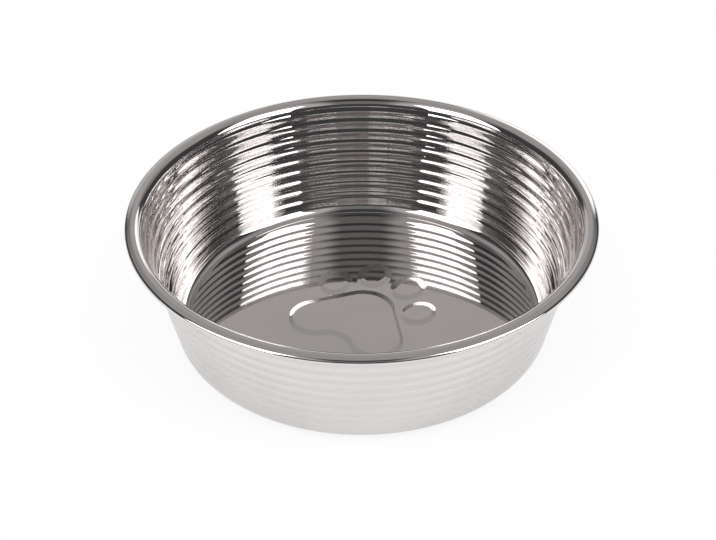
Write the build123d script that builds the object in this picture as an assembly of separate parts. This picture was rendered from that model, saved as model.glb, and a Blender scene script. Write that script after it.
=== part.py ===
from build123d import *
import math
import os

# Bowl, in millimetres and degrees, its wall leaning outward from upright
rim_diameter = 240.0
bowl_height = 67.4
wall_angle = 12.4
sheet = 0.7

# Bends of the sheet, measured on their hollow side, and the crown of the rim, an arc that falls outward
base_corner_radius = 6.5
rim_bend_radius = 4.3
rim_crown = 2.6
rim_crown_fall = 14.0
rim_roll_radius = 0.9

# Beads pressed inward round the wall, measured along the wall
bead_width = 5.4
bead_height = 0.4
bead_land = 0.95
plain_below_beads = 2.6

# Paw print raised in the floor, its outline taken half way up the sloping edge
paw_heading = 58.3
paw_height = 0.55
paw_slope_width = 3.0
pad_front_radius = 16.6
pad_front_ahead = 0.4
pad_lobe_radius = 13.5
pad_lobe_gap = 10.1
pad_lobe_behind = 16.8
pad_notch_depth = 7.2
toe_width = 14.9
toe_length = 18.2
inner_toe_aside = 10.8
inner_toe_ahead = 30.7
inner_toe_splay = 5.7
outer_toe_aside = 26.5
outer_toe_ahead = 14.4
outer_toe_splay = 17.3

# Rubber ring bonded under the base
ring_thickness = 2.0
ring_width = 9.0
ring_inset = 3.0
ring_edge_radius = 0.6

# Middle of the sheet, worked out from the sizes above
climb = 90.0 - wall_angle
climb_cos = math.cos(math.radians(climb))
climb_sin = math.sin(math.radians(climb))
corner_middle = base_corner_radius + sheet / 2
bend_middle = rim_bend_radius + sheet / 2
roll_middle = rim_roll_radius + sheet / 2
bends = corner_middle + bend_middle
wall_length = (bowl_height - sheet - bends * (1 - climb_cos)) / climb_sin
crown_fall_sin = math.sin(math.radians(rim_crown_fall))
crown_middle = rim_crown / crown_fall_sin
rim_reach = rim_crown + roll_middle * (1 - crown_fall_sin) + sheet / 2
base_flat_radius = rim_diameter / 2 - rim_reach - bends * climb_sin - wall_length * climb_cos

# The wall takes as many beads as its length has room for, with a flat land between them
bead_pitch = bead_width + bead_land
bead_count = 1 + math.floor((wall_length - plain_below_beads - bead_width) / bead_pitch)
bead_turn = 2 * math.degrees(math.atan(2 * bead_height / bead_width))
bead_radius = bead_width / (4 * math.sin(math.radians(bead_turn)))
plain_above_beads = wall_length - plain_below_beads - bead_count * bead_pitch + bead_land

floor_top = ring_thickness + sheet
ring_outer_radius = base_flat_radius - ring_inset


def toward(angle):
    return Vector(math.cos(math.radians(angle)), 0, math.sin(math.radians(angle)))


# Follows the middle of the sheet in the XZ plane and draws its two faces as it goes
class SheetPath:
    def __init__(self, height):
        self.middle = Vector(0, 0, height)
        self.heading = 0.0
        self.inner = []
        self.outer = []

    def sides(self):
        across = toward(self.heading + 90) * (sheet / 2)
        return self.middle + across, self.middle - across

    def run(self, length):
        inner_start, outer_start = self.sides()
        self.middle += toward(self.heading) * length
        inner_end, outer_end = self.sides()
        self.inner.append(Line(inner_start, inner_end))
        self.outer.append(Line(outer_start, outer_end))

    def swing(self, centre, angle):
        arm = (self.middle - centre).rotate(Axis.Y, -angle)
        self.middle = centre + arm
        self.heading += angle

    # A positive angle turns towards the inner face
    def turn(self, radius, angle):
        side = math.copysign(90, angle)
        centre = self.middle + toward(self.heading + side) * radius
        inner_start, outer_start = self.sides()
        self.swing(centre, angle / 2)
        inner_middle, outer_middle = self.sides()
        self.swing(centre, angle / 2)
        inner_end, outer_end = self.sides()
        self.inner.append(ThreePointArc(inner_start, inner_middle, inner_end))
        self.outer.append(ThreePointArc(outer_start, outer_middle, outer_end))

    def bead(self):
        self.turn(bead_radius, bead_turn)
        self.turn(bead_radius, -2 * bead_turn)
        self.turn(bead_radius, bead_turn)

    def section(self):
        free_end = Line(*self.sides())
        axis_end = Line(self.inner[0] @ 0, self.outer[0] @ 0)
        return make_face([*self.inner, free_end, *self.outer, axis_end])


def plain_bowl():
    path = SheetPath(ring_thickness + sheet / 2)
    path.run(base_flat_radius)
    path.turn(corner_middle, climb)
    for number in range(bead_count):
        path.run(bead_land if number else plain_below_beads)
        path.bead()
    path.run(plain_above_beads)
    path.turn(bend_middle, -climb)
    path.turn(crown_middle, -rim_crown_fall)
    path.turn(roll_middle, rim_crown_fall - 180)
    path.run(rim_crown)
    return revolve(path.section(), axis=Axis.Z)


def polar(centre, radius, angle):
    return Vector(*centre) + Vector(radius, 0).rotate(Axis.Z, angle)


# Pad of the paw, grown outward all round by the given amount
def pad_outline(grow):
    lobe_aside = pad_lobe_radius + pad_lobe_gap / 2
    notch_drop = pad_lobe_radius - pad_notch_depth
    notch_radius = (lobe_aside**2 + notch_drop**2 - pad_lobe_radius**2) / (2 * pad_notch_depth)
    front = (0, pad_front_ahead)
    lobe = (lobe_aside, -pad_lobe_behind)
    notch = (0, -pad_lobe_behind - notch_drop - notch_radius)

    front_to_lobe = pad_front_ahead + pad_lobe_behind
    taper = (pad_front_radius - pad_lobe_radius) / math.hypot(lobe_aside, front_to_lobe)
    flank_angle = math.degrees(math.atan2(lobe_aside, front_to_lobe) - math.asin(taper))
    notch_angle = math.degrees(math.atan2(notch_drop + notch_radius, lobe_aside))

    front_radius = pad_front_radius + grow
    lobe_radius = pad_lobe_radius + grow
    hollow_radius = notch_radius - grow
    half = [
        CenterArc(front, front_radius, 90, flank_angle - 90),
        Line(polar(front, front_radius, flank_angle), polar(lobe, lobe_radius, flank_angle)),
        CenterArc(lobe, lobe_radius, flank_angle, notch_angle - 180 - flank_angle),
        CenterArc(notch, hollow_radius, notch_angle, 90 - notch_angle),
    ]
    return make_face([*half, *[mirror(edge, Plane.YZ) for edge in half]])


def toe_outline(aside, ahead, splay, grow):
    oval = Ellipse(toe_width / 2 + grow, toe_length / 2 + grow)
    return Pos(aside, ahead) * Rot(Z=splay) * oval


def paw_outlines(grow):
    outlines = [pad_outline(grow)]
    for side in (-1, 1):
        outlines.append(toe_outline(side * inner_toe_aside, inner_toe_ahead, -side * inner_toe_splay, grow))
        outlines.append(toe_outline(side * outer_toe_aside, outer_toe_ahead, -side * outer_toe_splay, grow))
    return outlines


def paw_print():
    feet = paw_outlines(paw_slope_width / 2)
    tops = paw_outlines(-paw_slope_width / 2)
    raised = [loft([foot, Pos(Z=paw_height) * top], ruled=True) for foot, top in zip(feet, tops)]
    return Pos(Z=floor_top) * Rot(Z=paw_heading - 90) * Part(children=raised)


def bowl_shell():
    paw = paw_print()
    return plain_bowl() + paw - Pos(Z=-sheet) * paw


def nonslip_ring():
    ring = extrude(Circle(ring_outer_radius) - Circle(ring_outer_radius - ring_width), ring_thickness)
    return fillet(ring.edges().group_by(Axis.Z)[0], ring_edge_radius)


os.makedirs("parts", exist_ok=True)
export_step(bowl_shell(), "parts/bowl_shell.step")
export_step(nonslip_ring(), "parts/nonslip_ring.step")
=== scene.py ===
import bpy, bmesh, math
from mathutils import Matrix, Vector


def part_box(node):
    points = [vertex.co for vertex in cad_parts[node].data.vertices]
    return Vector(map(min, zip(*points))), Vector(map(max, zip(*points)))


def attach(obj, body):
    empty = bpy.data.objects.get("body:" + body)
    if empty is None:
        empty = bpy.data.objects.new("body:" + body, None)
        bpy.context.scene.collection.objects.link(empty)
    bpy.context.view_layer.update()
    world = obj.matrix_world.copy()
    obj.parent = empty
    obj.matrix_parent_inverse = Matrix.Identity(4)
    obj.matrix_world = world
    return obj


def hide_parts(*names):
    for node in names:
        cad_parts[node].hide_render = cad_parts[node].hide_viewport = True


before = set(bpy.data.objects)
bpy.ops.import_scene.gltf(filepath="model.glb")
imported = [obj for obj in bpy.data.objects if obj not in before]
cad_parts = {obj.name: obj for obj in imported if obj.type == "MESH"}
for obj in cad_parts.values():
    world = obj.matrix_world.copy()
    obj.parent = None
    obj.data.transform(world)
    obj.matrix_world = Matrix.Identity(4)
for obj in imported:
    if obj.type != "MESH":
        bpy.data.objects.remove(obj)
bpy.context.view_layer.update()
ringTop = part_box("nonslip_ring")[1].z  # the bowl stands on the rubber ring
mm = 0.001
print("frame loaded", list(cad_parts))


# Small helpers for node trees

def addNode(tree, kind, **settings):
    node = tree.nodes.new(kind)
    for name, value in settings.items():
        setattr(node, name, value)
    return node


def feed(tree, socket, value):
    if isinstance(value, bpy.types.NodeSocket):
        tree.links.new(value, socket)
    else:
        socket.default_value = value


def math2(tree, operation, a, b=0.0):
    node = addNode(tree, "ShaderNodeMath", operation=operation)
    feed(tree, node.inputs[0], a)
    feed(tree, node.inputs[1], b)
    return node.outputs[0]


def vectorMath(tree, operation, a, b):
    node = addNode(tree, "ShaderNodeVectorMath", operation=operation)
    feed(tree, node.inputs[0], a)
    feed(tree, node.inputs[1], b)
    return node.outputs["Value" if operation in ("DOT_PRODUCT", "LENGTH") else "Vector"]


def between(tree, value, low, high, start=0.0, end=1.0):
    node = addNode(tree, "ShaderNodeMapRange", interpolation_type="SMOOTHSTEP")
    names = ("Value", "From Min", "From Max", "To Min", "To Max")
    for name, given in zip(names, (value, low, high, start, end)):
        feed(tree, node.inputs[name], given)
    return node.outputs["Result"]


def blend(tree, factor, first, second):
    node = addNode(tree, "ShaderNodeMix", data_type="RGBA")
    feed(tree, node.inputs["Factor"], factor)
    for name, colour in (("A", first), ("B", second)):
        feed(tree, node.inputs[name], colour if isinstance(colour, bpy.types.NodeSocket) else (*colour, 1))
    return node.outputs["Result"]


# Bowl sizes in millimetres and degrees; bends are measured on their hollow side

bowl = {
    "rimDiameter": 240.0,
    "height": 67.4,
    "wallAngle": 12.4,
    "sheet": 0.7,
    "cornerRadius": 6.5,
    "bendRadius": 4.3,
    "crown": 2.6,
    "crownFall": 14.0,
    "rollRadius": 0.9,
    "beadWidth": 5.4,
    "beadHeight": 0.4,
    "beadLand": 0.95,
    "plainBelow": 2.6,
    "beadSteps": 11,
    "landSteps": 2,
    "cornerSteps": 12,
    "bendSteps": 14,
    "crownSteps": 6,
    "rollSteps": 14,
    "segments": 220,
    "flatMargin": 0.5,  # flat ring inside the corner, where the wall's mesh joins the floor's
    "joinWithin": 0.02,
    "sharpAngle": 50.0,
}

# Paw print in the floor, its outline taken half way up the sloping edge

paw = {
    "heading": 58.3,
    "height": 0.55,
    "slopeWidth": 4.2,
    "slopeRings": 10,
    "flatRing": 0.3,  # kept below the slope and above it
    "frontRadius": 16.6,
    "frontAhead": 0.4,
    "lobeRadius": 13.5,
    "lobeGap": 10.1,
    "lobeBehind": 16.8,
    "notchDepth": 7.2,
    "toeSize": (14.9, 18.2),
    "toes": ((10.8, 30.7, 5.7), (26.5, 14.4, 17.3)),  # aside, ahead, splay
    "arcStep": 4.0,
    "flankSteps": 10,
    "toePoints": 72,
}


class SheetPen:  # draws the middle of the sheet, seen from the side

    def __init__(self, radius, height):
        self.points = [Vector((radius, 0, height))]
        self.heading = 0.0

    def run(self, length, steps=1):
        start = self.points[-1]
        aim = Vector((math.cos(self.heading), 0, math.sin(self.heading)))
        for step in range(steps):
            self.points.append(start + aim * length * (step + 1) / steps)

    def turn(self, radius, degrees, steps):
        angle = math.radians(degrees)
        side = math.copysign(1, angle)
        across = Vector((-math.sin(self.heading), 0, math.cos(self.heading))) * side
        centre = self.points[-1] + across * radius
        arm = -across * radius
        for step in range(steps):
            spun = Matrix.Rotation(-angle * (step + 1) / steps, 3, "Y") @ arm
            self.points.append(centre + spun)
        self.heading += angle


def sheetSizes():
    climb = math.radians(90 - bowl["wallAngle"])
    half = bowl["sheet"] / 2
    corner = bowl["cornerRadius"] + half
    bend = bowl["bendRadius"] + half
    wall = (bowl["height"] - bowl["sheet"] - (corner + bend) * (1 - math.cos(climb))) / math.sin(climb)
    fall = math.sin(math.radians(bowl["crownFall"]))
    roll = bowl["rollRadius"] + half
    reach = bowl["crown"] + roll * (1 - fall) + half
    flat = bowl["rimDiameter"] / 2 - reach - (corner + bend) * math.sin(climb) - wall * math.cos(climb)
    pitch = bowl["beadWidth"] + bowl["beadLand"]
    count = 1 + math.floor((wall - bowl["plainBelow"] - bowl["beadWidth"]) / pitch)
    return {"climb": climb, "corner": corner, "bend": bend, "dome": bowl["crown"] / fall, "roll": roll,
            "wall": wall, "flat": flat, "pitch": pitch, "count": count}


def sheetMidline(sizes):
    pen = SheetPen(sizes["flat"] - bowl["flatMargin"], ringTop / mm + bowl["sheet"] / 2)
    pen.run(bowl["flatMargin"])
    pen.turn(sizes["corner"], math.degrees(sizes["climb"]), bowl["cornerSteps"])
    wallFoot = pen.points[-1].copy()
    for number in range(sizes["count"]):
        pen.run(bowl["beadLand"] if number else bowl["plainBelow"], bowl["landSteps"])
        pen.run(bowl["beadWidth"], bowl["beadSteps"])
    used = bowl["plainBelow"] + sizes["count"] * sizes["pitch"] - bowl["beadLand"]
    pen.run(sizes["wall"] - used)
    pen.turn(sizes["bend"], -math.degrees(sizes["climb"]), bowl["bendSteps"])
    pen.turn(sizes["dome"], -bowl["crownFall"], bowl["crownSteps"])
    pen.turn(sizes["roll"], bowl["crownFall"] - 180, bowl["rollSteps"])
    pen.run(bowl["crown"])
    return pen.points, wallFoot


def beadedWallTree():
    tree = bpy.data.node_groups.new("beadedWall", "GeometryNodeTree")
    face = tree.interface
    face.new_socket("Midline", in_out="INPUT", socket_type="NodeSocketGeometry")
    for name in ("Wall Foot", "Wall Run"):
        face.new_socket(name, in_out="INPUT", socket_type="NodeSocketVector")
    for name in ("First Bead", "Bead Pitch", "Bead Width", "Bead Height", "Sweep Radius"):
        face.new_socket(name, in_out="INPUT", socket_type="NodeSocketFloat")
    for name in ("Bead Count", "Segments"):
        face.new_socket(name, in_out="INPUT", socket_type="NodeSocketInt")
    face.new_socket("Finish", in_out="INPUT", socket_type="NodeSocketMaterial")
    face.new_socket("Wall", in_out="OUTPUT", socket_type="NodeSocketGeometry")
    given = addNode(tree, "NodeGroupInput").outputs

    # how far up the wall each point is, and where that lies within its bead
    position = addNode(tree, "GeometryNodeInputPosition").outputs[0]
    fromFoot = vectorMath(tree, "SUBTRACT", position, given["Wall Foot"])
    upWall = vectorMath(tree, "DOT_PRODUCT", fromFoot, given["Wall Run"])
    fromFirst = math2(tree, "SUBTRACT", upWall, given["First Bead"])
    turnNumber = math2(tree, "FLOOR", math2(tree, "DIVIDE", fromFirst, given["Bead Pitch"]))
    inBead = math2(tree, "SUBTRACT", fromFirst, math2(tree, "MULTIPLY", turnNumber, given["Bead Pitch"]))
    notBelow = math2(tree, "GREATER_THAN", turnNumber, -0.5)
    notAbove = math2(tree, "LESS_THAN", turnNumber, given["Bead Count"])
    onBead = math2(tree, "LESS_THAN", inBead, given["Bead Width"])
    allowed = math2(tree, "MULTIPLY", math2(tree, "MULTIPLY", notBelow, notAbove), onBead)

    # a bead swells as a raised cosine, towards the inside of the bowl
    share = math2(tree, "DIVIDE", inBead, given["Bead Width"])
    wave = math2(tree, "COSINE", math2(tree, "MULTIPLY", share, math.tau))
    swell = math2(tree, "MULTIPLY", math2(tree, "SUBTRACT", 1.0, wave), 0.5)
    press = math2(tree, "MULTIPLY", math2(tree, "MULTIPLY", swell, allowed), given["Bead Height"])
    parts = addNode(tree, "ShaderNodeSeparateXYZ")
    tree.links.new(given["Wall Run"], parts.inputs[0])
    inward = addNode(tree, "ShaderNodeCombineXYZ")
    tree.links.new(math2(tree, "MULTIPLY", parts.outputs[2], -1.0), inward.inputs[0])
    tree.links.new(parts.outputs[0], inward.inputs[2])
    offset = addNode(tree, "ShaderNodeVectorMath", operation="SCALE")
    tree.links.new(inward.outputs[0], offset.inputs[0])
    tree.links.new(press, offset.inputs["Scale"])
    pressed = addNode(tree, "GeometryNodeSetPosition")
    tree.links.new(given["Midline"], pressed.inputs["Geometry"])
    tree.links.new(offset.outputs[0], pressed.inputs["Offset"])

    # the line is laid into the sweep's own plane and swept round the bowl
    profile = addNode(tree, "GeometryNodeMeshToCurve")
    tree.links.new(pressed.outputs[0], profile.inputs[0])
    laid = addNode(tree, "GeometryNodeTransform")
    laid.inputs["Rotation"].default_value = (math.radians(90), 0, 0)
    shift = addNode(tree, "ShaderNodeCombineXYZ")
    tree.links.new(math2(tree, "MULTIPLY", given["Sweep Radius"], -1.0), shift.inputs[0])
    tree.links.new(shift.outputs[0], laid.inputs["Translation"])
    tree.links.new(profile.outputs[0], laid.inputs["Geometry"])
    circle = addNode(tree, "GeometryNodeCurvePrimitiveCircle", mode="RADIUS")
    tree.links.new(given["Segments"], circle.inputs["Resolution"])
    tree.links.new(given["Sweep Radius"], circle.inputs["Radius"])
    upright = addNode(tree, "GeometryNodeSetCurveNormal")
    tree.links.new(circle.outputs[0], upright.inputs["Curve"])
    sweep = addNode(tree, "GeometryNodeCurveToMesh")
    tree.links.new(upright.outputs[0], sweep.inputs["Curve"])
    tree.links.new(laid.outputs[0], sweep.inputs["Profile Curve"])
    real = addNode(tree, "GeometryNodeRealizeInstances")
    tree.links.new(sweep.outputs[0], real.inputs[0])
    finish = addNode(tree, "GeometryNodeSetMaterial")
    tree.links.new(real.outputs[0], finish.inputs["Geometry"])
    tree.links.new(given["Finish"], finish.inputs["Material"])
    tree.links.new(finish.outputs[0], addNode(tree, "NodeGroupOutput").inputs[0])
    return tree


def meshObject(name, mesh):
    made = bpy.data.objects.new(name, mesh)
    bpy.context.scene.collection.objects.link(made)
    return made


def beadedWall(sizes, finish):
    points, wallFoot = sheetMidline(sizes)
    line = bpy.data.meshes.new("midline")
    line.from_pydata([point * mm for point in points], [(i, i + 1) for i in range(len(points) - 1)], [])
    carrier = meshObject("beadedWall", line)
    tree = beadedWallTree()
    values = {
        "Wall Foot": wallFoot * mm,
        "Wall Run": Vector((math.cos(sizes["climb"]), 0, math.sin(sizes["climb"]))),
        "First Bead": bowl["plainBelow"] * mm,
        "Bead Pitch": sizes["pitch"] * mm,
        "Bead Width": bowl["beadWidth"] * mm,
        "Bead Height": bowl["beadHeight"] * mm,
        "Sweep Radius": bowl["rimDiameter"] / 2 * mm,
        "Bead Count": sizes["count"],
        "Segments": bowl["segments"],
        "Finish": finish,
    }
    modifier = carrier.modifiers.new("beadedWall", "NODES")
    modifier.node_group = tree
    for item in tree.interface.items_tree:
        if item.name in values:
            modifier[item.identifier] = values[item.name]
    shown = carrier.evaluated_get(bpy.context.evaluated_depsgraph_get())
    wall = bpy.data.meshes.new_from_object(shown)
    bpy.data.objects.remove(carrier)
    print("beaded wall", len(wall.vertices), "points")
    return wall


def arcPoints(centre, radius, start, end, grow):
    steps = max(2, round(abs(end - start) / paw["arcStep"]))
    for step in range(steps):
        angle = math.radians(start + (end - start) * step / steps)
        yield centre + Vector((math.cos(angle), math.sin(angle))) * (radius + grow)


def padOutline(grow):
    aside = paw["lobeRadius"] + paw["lobeGap"] / 2
    drop = paw["lobeRadius"] - paw["notchDepth"]
    hollow = (aside**2 + drop**2 - paw["lobeRadius"]**2) / (2 * paw["notchDepth"])
    front = Vector((0, paw["frontAhead"]))
    lobe = Vector((aside, -paw["lobeBehind"]))
    notch = Vector((0, -paw["lobeBehind"] - drop - hollow))
    ahead = paw["frontAhead"] + paw["lobeBehind"]
    taper = (paw["frontRadius"] - paw["lobeRadius"]) / math.hypot(aside, ahead)
    flank = math.degrees(math.atan2(aside, ahead) - math.asin(taper))
    bay = math.degrees(math.atan2(drop + hollow, aside))
    half = list(arcPoints(front, paw["frontRadius"], 90, flank, grow))
    corner = next(arcPoints(front, paw["frontRadius"], flank, 90, grow))
    lobeArc = list(arcPoints(lobe, paw["lobeRadius"], flank, bay - 180, grow))
    half += [corner.lerp(lobeArc[0], step / paw["flankSteps"]) for step in range(paw["flankSteps"])]
    half += lobeArc
    half += list(arcPoints(notch, hollow, bay, 90, -grow))
    tip = Vector((0, notch.y + hollow - grow))
    mirrored = [Vector((-point.x, point.y)) for point in reversed(half[1:])]
    return half + [tip] + mirrored


def toeOutline(aside, ahead, splay, grow):
    wide, long = (size / 2 for size in paw["toeSize"])
    turned = Matrix.Rotation(math.radians(splay), 2)
    outline = []
    for step in range(paw["toePoints"]):
        angle = -math.tau * step / paw["toePoints"]
        point = Vector((wide * math.cos(angle), long * math.sin(angle)))
        normal = Vector((math.cos(angle) / wide, math.sin(angle) / long)).normalized()
        outline.append(turned @ (point + normal * grow) + Vector((aside, ahead)))
    return outline


def pawOutlines(grow):
    outlines = [padOutline(grow)]
    for aside, ahead, splay in paw["toes"]:
        for side in (-1, 1):
            outlines.append(toeOutline(side * aside, ahead, -side * splay, grow))
    heading = Matrix.Rotation(math.radians(paw["heading"] - 90), 2)
    return [[heading @ point for point in outline] for outline in outlines]


def ringOfPoints(bm, outline, height):
    return [bm.verts.new((point.x * mm, point.y * mm, height * mm)) for point in outline]


def bridge(bm, outer, inner):
    for here in range(len(outer)):
        after = (here + 1) % len(outer)
        bm.faces.new((outer[here], outer[after], inner[after], inner[here]))


def fillFlat(bm, loops):
    edges = []
    for loop in loops:
        for here in range(len(loop)):
            pair = (loop[here], loop[(here + 1) % len(loop)])
            edges.append(bm.edges.get(pair) or bm.edges.new(pair))
    bmesh.ops.triangle_fill(bm, use_beauty=True, edges=edges)


def pawFloor(sizes):
    bm = bmesh.new()
    base = ringTop / mm + bowl["sheet"] / 2
    rimOfFloor = sizes["flat"] - bowl["flatMargin"]
    count = bowl["segments"]
    angles = [math.tau * number / count for number in range(count)]
    bearings = [Vector((math.cos(angle), math.sin(angle))) for angle in angles]
    edge = ringOfPoints(bm, [bearing * rimOfFloor for bearing in bearings], base)
    guard = ringOfPoints(bm, [bearing * (rimOfFloor - bowl["flatMargin"]) for bearing in bearings], base)
    bridge(bm, edge, guard)

    # each outline climbs the slope in rings, with a flat ring below it and one above
    half = paw["slopeWidth"] / 2
    steps = [(half + paw["flatRing"], 0.0)]
    for ring in range(paw["slopeRings"] + 1):
        share = ring / paw["slopeRings"]
        steps.append((half - share * paw["slopeWidth"], share * share * (3 - 2 * share)))
    steps.append((-half - paw["flatRing"], 1.0))
    rings = []
    for grow, rise in steps:
        height = base + rise * paw["height"]
        rings.append([ringOfPoints(bm, outline, height) for outline in pawOutlines(grow)])
    ladders = list(zip(*rings))
    for ladder in ladders:
        for lower, upper in zip(ladder, ladder[1:]):
            bridge(bm, lower, upper)
        fillFlat(bm, [ladder[-1]])
    fillFlat(bm, [guard] + [ladder[0] for ladder in ladders])
    floor = bpy.data.meshes.new("pawFloor")
    bm.to_mesh(floor)
    bm.free()
    print("paw floor", len(floor.vertices), "points")
    return floor


def bowlShell(finish):
    sizes = sheetSizes()
    bm = bmesh.new()
    for part in (pawFloor(sizes), beadedWall(sizes, finish)):
        bm.from_mesh(part)
    bmesh.ops.remove_doubles(bm, verts=bm.verts, dist=bowl["joinWithin"] * mm)
    bmesh.ops.recalc_face_normals(bm, faces=bm.faces)
    for face in bm.faces:
        face.smooth = True
    mesh = bpy.data.meshes.new("bowlShell")
    bm.to_mesh(mesh)
    bm.free()
    mesh.materials.append(finish)
    made = meshObject("bowlShell", mesh)
    thick = made.modifiers.new("sheet", "SOLIDIFY")
    thick.thickness = bowl["sheet"] * mm
    thick.offset = 0
    thick.use_even_offset = True
    shown = made.evaluated_get(bpy.context.evaluated_depsgraph_get())
    solid = bpy.data.meshes.new_from_object(shown)
    made.modifiers.clear()
    made.data = solid
    solid.set_sharp_from_angle(angle=math.radians(bowl["sharpAngle"]))
    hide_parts("bowl_shell")
    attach(made, "root")
    print("bowl shell", len(solid.polygons), "faces")
    return made


# Finishes; lengths in millimetres, and each pair is the range that a pattern covers

steel = {
    "tints": ((0.66, 0.646, 0.642), (0.69, 0.667, 0.658)),
    "tintRange": (0.3, 0.7),
    "paintedDeepReflection": (0.42, 0.4, 0.39),  # painted reflection: a faint glow in the steel that stands for what lies past the last mirror bounces between the walls
    "deepFrom": 3.5,  # number of mirror bounces after which it shows
    "cloudSize": 26.0,
    "rippleSize": 6.0,
    "rippleHeight": 0.016,
    "lineSpacing": 0.5,
    "lineSweep": 2.5,  # larger values make shorter polishing lines
    "lineHeight": 0.0003,
    "lineRange": (0.5, 0.75),
    "roughness": (0.012, 0.055),
    "wornRange": (0.35, 0.7),
    "floorHaze": 0.03,  # the floor is less polished than the wall, and flatter
    "floorRipple": 0.35,
    "floorReach": (3.6, 7.0),  # heights between which floor turns into wall
}

rubber = {
    "tints": ((0.022, 0.022, 0.023), (0.05, 0.049, 0.048)),
    "tintRange": (0.3, 0.75),
    "cloudSize": 18.0,
    "rippleSize": 0.7,
    "rippleHeight": 0.05,
    "roughness": (0.62, 0.86),
    "wornRange": (0.3, 0.7),
}

noiseDetail = {"Cloud": 3.0, "Ripple": 1.0}


def unevenSurface():
    tree = bpy.data.node_groups.new("unevenSurface", "ShaderNodeTree")
    face = tree.interface
    for name in ("Cloud Size", "Ripple Size"):
        face.new_socket(name, in_out="INPUT", socket_type="NodeSocketFloat")
    for name in noiseDetail:
        face.new_socket(name, in_out="OUTPUT", socket_type="NodeSocketFloat")
    given = addNode(tree, "NodeGroupInput").outputs
    result = addNode(tree, "NodeGroupOutput").inputs
    place = addNode(tree, "ShaderNodeTexCoord").outputs["Object"]
    for name, detail in noiseDetail.items():
        noise = addNode(tree, "ShaderNodeTexNoise")
        noise.inputs["Detail"].default_value = detail
        tree.links.new(place, noise.inputs["Vector"])
        tree.links.new(math2(tree, "DIVIDE", 1 / mm, given[name + " Size"]), noise.inputs["Scale"])
        tree.links.new(noise.outputs[0], result[name])
    return tree


def surfaceNode(tree, group, look):
    node = addNode(tree, "ShaderNodeGroup", node_tree=group)
    node.inputs["Cloud Size"].default_value = look["cloudSize"]
    node.inputs["Ripple Size"].default_value = look["rippleSize"]
    return node.outputs["Cloud"], node.outputs["Ripple"]


def newMaterial(name):
    made = bpy.data.materials.new(name)
    made.use_nodes = True
    return made, made.node_tree, made.node_tree.nodes["Principled BSDF"]


def raised(tree, shader, height):
    bump = addNode(tree, "ShaderNodeBump")
    bump.inputs["Distance"].default_value = 1.0
    tree.links.new(height, bump.inputs["Height"])
    tree.links.new(bump.outputs[0], shader.inputs["Normal"])


# polishing lines run round the bowl: the noise changes slowly with the bearing, fast across the lines
def polishLines(tree):
    place = addNode(tree, "ShaderNodeTexCoord").outputs["Object"]
    flat = vectorMath(tree, "MULTIPLY", place, (1, 1, 0))
    radius = vectorMath(tree, "LENGTH", flat, (0, 0, 0))
    bearing = vectorMath(tree, "NORMALIZE", flat, (0, 0, 0))
    parts = addNode(tree, "ShaderNodeSeparateXYZ")
    tree.links.new(place, parts.inputs[0])
    along = math2(tree, "DIVIDE", math2(tree, "ADD", radius, parts.outputs["Z"]), steel["lineSpacing"] * mm)
    lift = addNode(tree, "ShaderNodeCombineXYZ")
    tree.links.new(along, lift.inputs["Z"])
    sweep = vectorMath(tree, "MULTIPLY", bearing, (steel["lineSweep"],) * 3)
    noise = addNode(tree, "ShaderNodeTexNoise")
    noise.inputs["Scale"].default_value = 1.0
    tree.links.new(vectorMath(tree, "ADD", sweep, lift.outputs[0]), noise.inputs["Vector"])
    return between(tree, noise.outputs[0], *steel["lineRange"])


def polishedSteel(group):
    made, tree, shader = newMaterial("polishedSteel")
    cloud, ripple = surfaceNode(tree, group, steel)
    lines = polishLines(tree)
    shader.inputs["Metallic"].default_value = 1
    tint = blend(tree, between(tree, cloud, *steel["tintRange"]), *steel["tints"])
    tree.links.new(tint, shader.inputs["Base Color"])
    marks = math2(tree, "MULTIPLY", lines, between(tree, cloud, *steel["wornRange"]))
    parts = addNode(tree, "ShaderNodeSeparateXYZ")
    tree.links.new(addNode(tree, "ShaderNodeTexCoord").outputs["Object"], parts.inputs[0])
    onWall = between(tree, parts.outputs["Z"], *[height * mm for height in steel["floorReach"]])
    haze = between(tree, onWall, 0.0, 1.0, steel["floorHaze"], 0.0)
    worn = between(tree, marks, 0.0, 1.0, *steel["roughness"])
    tree.links.new(math2(tree, "ADD", haze, worn), shader.inputs["Roughness"])
    waves = math2(tree, "MULTIPLY", ripple, steel["rippleHeight"] * mm)
    waves = math2(tree, "MULTIPLY", waves, between(tree, onWall, 0.0, 1.0, steel["floorRipple"], 1.0))
    grooves = math2(tree, "MULTIPLY", lines, -steel["lineHeight"] * mm)
    raised(tree, shader, math2(tree, "ADD", waves, grooves))
    # painted reflection: the steel glows faintly once a ray has made several mirror bounces
    bounces = addNode(tree, "ShaderNodeLightPath").outputs["Glossy Depth"]
    deep = math2(tree, "GREATER_THAN", bounces, steel["deepFrom"])
    tree.links.new(blend(tree, deep, (0, 0, 0), steel["paintedDeepReflection"]), shader.inputs["Emission Color"])
    shader.inputs["Emission Strength"].default_value = 1
    return made


def blackRubber(group):
    made, tree, shader = newMaterial("blackRubber")
    cloud, ripple = surfaceNode(tree, group, rubber)
    tint = blend(tree, between(tree, cloud, *rubber["tintRange"]), *rubber["tints"])
    tree.links.new(tint, shader.inputs["Base Color"])
    worn = between(tree, ripple, *rubber["wornRange"], *rubber["roughness"])
    tree.links.new(worn, shader.inputs["Roughness"])
    raised(tree, shader, math2(tree, "MULTIPLY", ripple, rubber["rippleHeight"] * mm))
    return made


uneven = unevenSurface()
bowlShell(polishedSteel(uneven))
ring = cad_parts["nonslip_ring"]
ring.data.materials.clear()
ring.data.materials.append(blackRubber(uneven))
print("finished in", [made.name for made in bpy.data.materials if made.users])


# Camera at the photograph's angle; sizes of the image in pixels

camera = {
    "distance": 0.720,  # metres
    "elevation": 36.51,
    "aimHeight": 28.57,  # millimetres above the underside of the bowl
    "focalPixels": 1369.4,
    "imageWidth": 716,
    "shiftPixels": 3.99,
    "roll": -0.31,
    "sensor": 36.0,
}


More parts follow.
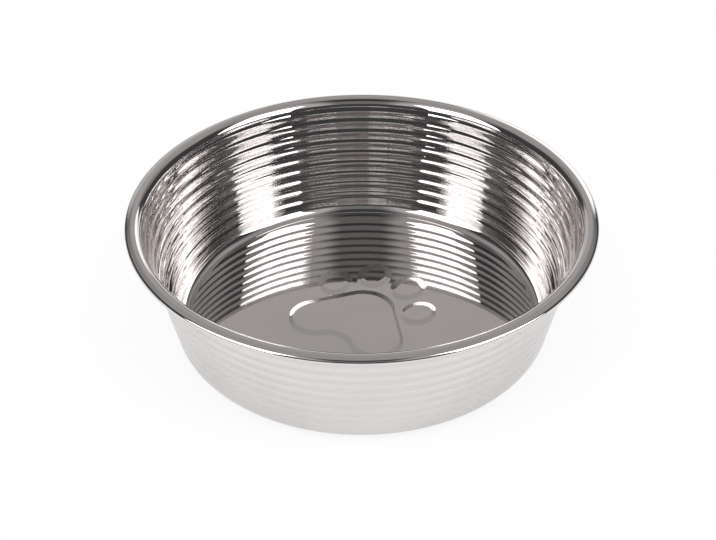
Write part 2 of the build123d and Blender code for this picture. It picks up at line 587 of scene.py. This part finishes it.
def placeCamera():
    data = bpy.data.cameras.new("camera")
    data.sensor_width = camera["sensor"]
    data.sensor_fit = "HORIZONTAL"
    data.lens = camera["focalPixels"] / camera["imageWidth"] * camera["sensor"]
    data.shift_x = -camera["shiftPixels"] / camera["imageWidth"]
    made = bpy.data.objects.new("camera", data)
    bpy.context.scene.collection.objects.link(made)
    elevation = math.radians(camera["elevation"])
    back = Vector((0, -math.cos(elevation), math.sin(elevation)))
    made.location = back * camera["distance"] + Vector((0, 0, ringTop + camera["aimHeight"] * mm))
    turned = (-back).to_track_quat("-Z", "Y").to_matrix()
    made.rotation_euler = (turned @ Matrix.Rotation(math.radians(camera["roll"]), 3, "Z")).to_euler()
    bpy.context.scene.camera = made


# Studio: a pale floor, two tall soft panels in front, a soft fill from above and a shaded room

# A shade is what the metal mirrors; its pairs say where it starts and ends across, ahead and up

studio = {
    "floorReach": 6.0,  # metres
    "floorWhite": 0.9,
    "floorGlow": 0.86,  # share of plain white in what the camera sees of the floor
    "mirrorGlow": 0.4,  # the same for what the metal mirrors of it
    "backdrop": (1.0, 1.0, 1.0),
    "roomShade": (0.06, 0.06, 0.062),
    "middleShade": (0.22, 0.216, 0.214),
    "flankShade": (0.57, 0.56, 0.555),
    "flankStart": (0.15, 0.32),
    "sideShade": (0.30, 0.294, 0.29),
    "sideStart": (-0.1, 0.2),
    "wallRise": (0.40, 0.60),
    "wallEnd": (0.72, 0.45),
    "gapRise": (0.93, 0.86),
    "gapEnd": (0.10, 0.22),
    "backShade": (0.48, 0.46, 0.455),
    "backEnd": (0.30, 0.16),
    "backReach": (0.05, 0.36),
    "backRise": (0.26, 0.38),
    "highShade": (0.41, 0.396, 0.391),
    "highRise": (0.60, 0.75),
    "highReach": (0.10, 0.36),
    "lowShade": (1.0, 1.0, 1.0),
    "lowRise": (0.27, 0.19),
    "lowSpread": (0.76, 0.86),
    "lowSide": (-0.38, -0.28, 0.45, 1.0),  # weaker at the left, by the third number
}

lamps = {  # aim, spread, shade
    "rightLamp": ((0.273, 0.893, 0.358), (0.982, 0.992), (1.5, 1.5, 1.5)),
    "leftLamp": ((-0.292, 0.899, 0.326), (0.975, 0.992), (0.62, 0.62, 0.62)),
}

fill = {"strength": 1.3, "spread": 80.0}  # from straight above, left out of the metal's mirror images

panels = {  # place, aim, width, height, radiance
    "leftPanel": ((-0.853, -0.522, 1.042), (0, 0, 1.042), 0.79, 1.356, 3.6),
    "rightPanel": ((0.874, -0.486, 1.042), (0, 0, 1.042), 0.80, 1.356, 3.6),
}


def studioFloor():
    reach = studio["floorReach"]
    mesh = bpy.data.meshes.new("studioFloor")
    corners = [(-reach, -reach, 0), (reach, -reach, 0), (reach, reach, 0), (-reach, reach, 0)]
    mesh.from_pydata(corners, [], [(0, 1, 2, 3)])
    made = meshObject("studioFloor", mesh)
    pale = bpy.data.materials.new("paleFloor")
    pale.use_nodes = True
    tree = pale.node_tree
    tree.nodes.clear()
    matt = addNode(tree, "ShaderNodeBsdfDiffuse")
    matt.inputs["Color"].default_value = (*[studio["floorWhite"]] * 3, 1)
    plain = addNode(tree, "ShaderNodeEmission")
    path = addNode(tree, "ShaderNodeLightPath")
    mirrored = math2(tree, "MAXIMUM", path.outputs["Is Glossy Ray"], path.outputs["Is Transmission Ray"])
    mirrored = math2(tree, "MULTIPLY", mirrored, studio["mirrorGlow"])
    direct = math2(tree, "MULTIPLY", path.outputs["Is Camera Ray"], studio["floorGlow"])
    mixed = addNode(tree, "ShaderNodeMixShader")
    tree.links.new(math2(tree, "MAXIMUM", direct, mirrored), mixed.inputs[0])
    tree.links.new(matt.outputs[0], mixed.inputs[1])
    tree.links.new(plain.outputs[0], mixed.inputs[2])
    tree.links.new(mixed.outputs[0], addNode(tree, "ShaderNodeOutputMaterial").inputs[0])
    mesh.materials.append(pale)


def studioWorld():
    world = bpy.data.worlds.new("studio")
    world.use_nodes = True
    tree = world.node_tree
    tree.nodes.clear()
    aim = addNode(tree, "ShaderNodeTexCoord").outputs["Generated"]
    parts = addNode(tree, "ShaderNodeSeparateXYZ")
    tree.links.new(aim, parts.inputs[0])
    across, ahead, rise = parts.outputs
    aside = math2(tree, "ABSOLUTE", across)

    def reach(name, value):
        return between(tree, value, *studio[name])

    def allOf(mask, *others):
        for other in others:
            mask = math2(tree, "MULTIPLY", mask, other)
        return mask

    filled = math2(tree, "MAXIMUM", reach("gapRise", rise), reach("gapEnd", aside))
    wall = allOf(reach("wallRise", rise), reach("wallEnd", aside), filled)
    back = allOf(reach("backRise", rise), reach("backEnd", aside), reach("backReach", ahead))
    high = allOf(reach("highRise", rise), reach("highReach", ahead))
    low = allOf(reach("lowRise", rise), reach("lowSpread", ahead), reach("lowSide", across))
    shade = blend(tree, reach("flankStart", aside), studio["middleShade"], studio["flankShade"])
    shade = blend(tree, reach("sideStart", ahead), shade, studio["sideShade"])
    shade = blend(tree, wall, studio["roomShade"], shade)
    for mask, name in ((back, "backShade"), (high, "highShade"), (low, "lowShade")):
        shade = blend(tree, mask, shade, studio[name])
    for lampAim, spread, lampShade in lamps.values():
        lamp = between(tree, vectorMath(tree, "DOT_PRODUCT", aim, lampAim), *spread)
        shade = blend(tree, lamp, shade, lampShade)
    seen = addNode(tree, "ShaderNodeLightPath").outputs["Is Camera Ray"]
    shade = blend(tree, seen, shade, studio["backdrop"])
    sky = addNode(tree, "ShaderNodeBackground")
    tree.links.new(shade, sky.inputs["Color"])
    tree.links.new(sky.outputs[0], addNode(tree, "ShaderNodeOutputWorld").inputs[0])
    bpy.context.scene.world = world


def fillLight():
    data = bpy.data.lights.new("fill", "SUN")
    data.energy = fill["strength"]
    data.angle = math.radians(fill["spread"])
    made = bpy.data.objects.new("fill", data)
    bpy.context.scene.collection.objects.link(made)
    made.visible_glossy = False


def softPanels():
    for name, (place, aim, width, height, radiance) in panels.items():
        data = bpy.data.lights.new(name, "AREA")
        data.shape = "RECTANGLE"
        data.size, data.size_y = width, height
        data.energy = radiance * math.pi * width * height
        made = bpy.data.objects.new(name, data)
        bpy.context.scene.collection.objects.link(made)
        made.location = place
        facing = Vector(aim) - Vector(place)
        made.rotation_euler = facing.to_track_quat("-Z", "Y").to_euler()
        made.visible_camera = False
    print("studio lit by", len(panels), "panels")


placeCamera()
studioFloor()
studioWorld()
fillLight()
softPanels()
bpy.context.scene.view_settings.view_transform = "Standard"
